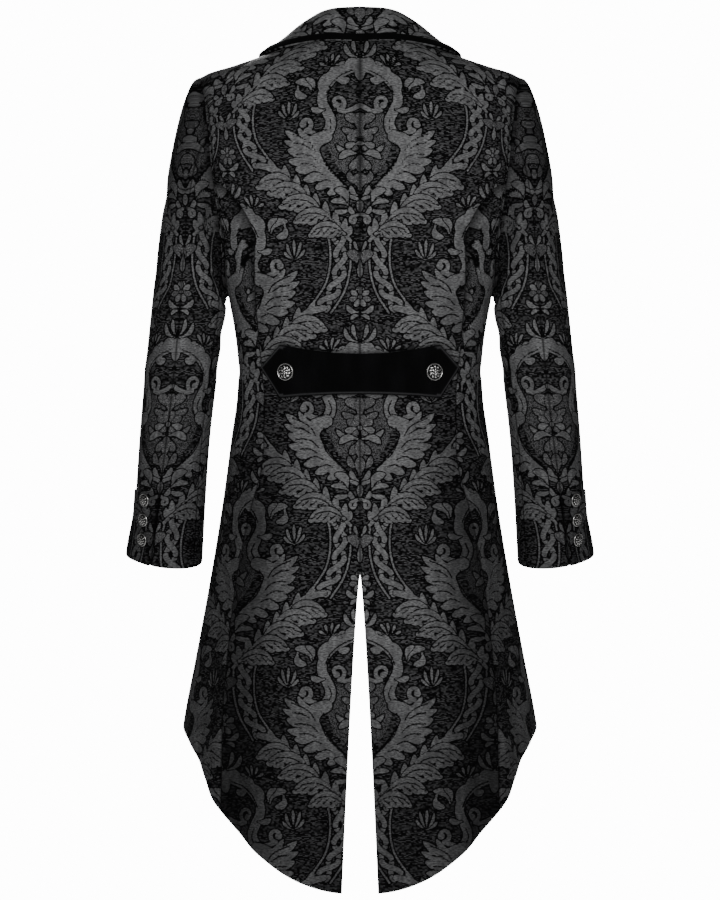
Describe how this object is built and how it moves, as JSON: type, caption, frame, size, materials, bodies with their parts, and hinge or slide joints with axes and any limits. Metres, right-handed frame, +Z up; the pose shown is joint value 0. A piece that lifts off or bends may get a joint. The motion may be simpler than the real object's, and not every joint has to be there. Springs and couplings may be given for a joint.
{
  "type": "gothic tailcoat",
  "caption": "Damask tailcoat in its worn form: fitted hollow body, high-low cutaway tails with a back vent, turned-down collar with a velvet band, velvet half-belt and buttoned cuff vents.",
  "frame": {"origin": "at the base of the neck, on the centre plane between the shoulders that carry the coat", "axes": "+Z up, the front faces -Y, the back faces +Y, the wearer's left is at +X"},
  "size_m": [0.6278, 0.3031, 1.1548],
  "materials": {
    "damask": "black ribbed ground with satin grey jacquard scrolls",
    "velvet": "black short-pile velvet",
    "metal": "antique silver, darkened in its hollows"
  },
  "bodies": {
    "root": {"back_left": "damask", "back_right": "damask", "side_left": "damask", "side_right": "damask", "front_left": "damask", "front_right": "damask", "lapel_left": "damask", "lapel_right": "damask", "upper_sleeve_left": "damask", "upper_sleeve_right": "damask", "under_sleeve_left": "damask", "under_sleeve_right": "damask", "cuff_strip_left": "damask", "cuff_strip_right": "damask", "collar": "damask", "collar_band": "velvet", "half_belt": "velvet", "belt_button_left": "metal", "belt_button_right": "metal", "cuff_button_left_1": "metal", "cuff_button_left_2": "metal", "cuff_button_left_3": "metal", "cuff_button_right_1": "metal", "cuff_button_right_2": "metal", "cuff_button_right_3": "metal", "front_button_1": "metal", "front_button_2": "metal", "front_button_3": "metal"}
  },
  "joints": []
}
